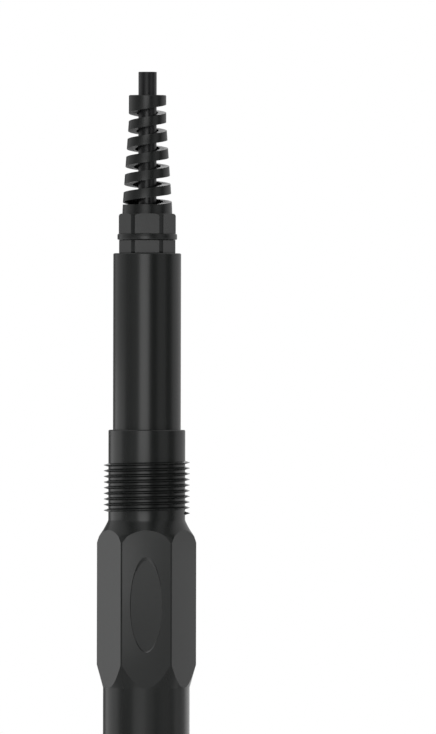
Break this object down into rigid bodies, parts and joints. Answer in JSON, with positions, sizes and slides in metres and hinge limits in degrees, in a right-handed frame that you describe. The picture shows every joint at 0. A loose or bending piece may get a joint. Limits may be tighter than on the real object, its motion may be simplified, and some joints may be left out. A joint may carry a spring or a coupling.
{
  "type": "ammonium ion sensor",
  "caption": "Slim submersible probe with a cable gland and spiral strain relief on top, an external pipe thread, a spanner hexagon and a slotted guard round its electrodes.",
  "frame": {"origin": "on the probe's axis, in the plane where the pipe thread's neck ends and the spanner hexagon begins", "axes": "+Z along the probe's axis towards the cable, -Y out of the hexagon's flat with the oval recess, +X to the right of it"},
  "size_m": [0.0298, 0.026, 0.2965],
  "materials": {
    "black_plastic": "satin moulded black plastic",
    "cable_jacket": "matt black cable jacket",
    "seal_rubber": "matt black rubber",
    "clamp_nylon": "dark grey nylon",
    "electrode_plastic": "smooth dark grey plastic",
    "board_resin": "green glass-fibre resin",
    "chip_case": "matt black moulded case",
    "metal_can": "plain metal can",
    "terminal_block": "green moulded plastic",
    "header_shell": "ivory moulded plastic",
    "capacitor_sleeve": "dark blue shrink sleeve",
    "silver_wire": "plain silver-coloured wire",
    "membrane": "smooth amber polymer",
    "porous_plug": "matt off-white porous plug",
    "sheath_steel": "drawn stainless steel",
    "black_insulation": "smooth wire insulation",
    "red_insulation": "smooth wire insulation",
    "green_insulation": "smooth wire insulation",
    "white_insulation": "smooth wire insulation",
    "yellow_insulation": "smooth wire insulation"
  },
  "bodies": {
    "probe": {"cable_jacket": "cable_jacket", "cable_core_red": "red_insulation", "cable_core_black": "black_insulation", "cable_core_green": "green_insulation", "cable_core_white": "white_insulation", "gland_seal": "seal_rubber", "gland_body": "black_plastic", "gland_o_ring": "seal_rubber", "upper_tube": "black_plastic", "upper_tube_o_ring_1": "seal_rubber", "upper_tube_o_ring_2": "seal_rubber", "main_housing": "black_plastic", "circuit_board": "board_resin", "cable_connector": "terminal_block", "electrode_connector": "header_shell", "microcontroller": "chip_case", "transceiver_chip": "chip_case", "amplifier_chip": "chip_case", "power_module": "chip_case", "capacitor": "capacitor_sleeve", "crystal": "metal_can", "ammonium_lead": "white_insulation", "reference_lead": "yellow_insulation", "temperature_lead_1": "red_insulation", "temperature_lead_2": "black_insulation", "head_body": "black_plastic", "head_o_ring_1": "seal_rubber", "head_o_ring_2": "seal_rubber", "ammonium_electrode": "electrode_plastic", "ammonium_membrane": "membrane", "ammonium_wire": "silver_wire", "ammonium_o_ring": "seal_rubber", "reference_electrode": "electrode_plastic", "reference_junction": "porous_plug", "reference_wire": "silver_wire", "reference_o_ring": "seal_rubber", "temperature_probe": "sheath_steel"},
    "clamp_ring": {"gland_clamp": "clamp_nylon"},
    "nut": {"gland_nut": "black_plastic"},
    "guard_seal": {"guard_o_ring": "seal_rubber"},
    "guard_tube": {"guard": "black_plastic"}
  },
  "joints": [
    {"name": "gland_clamp_slide", "type": "slide", "parent": "probe", "child": "clamp_ring", "axis": [0, 0, 1], "range_m": [0, 0.0031]},
    {"name": "gland_nut_turn", "type": "hinge", "parent": "clamp_ring", "child": "nut", "pos_m": [0, 0, 0.09], "axis": [0, 0, 1], "range_deg": [0, 720]},
    {"name": "guard_slide", "type": "slide", "parent": "probe", "child": "guard_seal", "axis": [0, 0, -1], "range_m": [0, 0.0081]},
    {"name": "guard_turn", "type": "hinge", "parent": "guard_seal", "child": "guard_tube", "pos_m": [0, 0, -0.12], "axis": [0, 0, -1], "range_deg": [0, 1920]}
  ],
  "couplings": [
    {"joint": "gland_clamp_slide", "follows": "gland_nut_turn", "m_per_rad": 0.00023873},
    {"joint": "guard_slide", "follows": "guard_turn", "m_per_rad": 0.00023873}
  ]
}
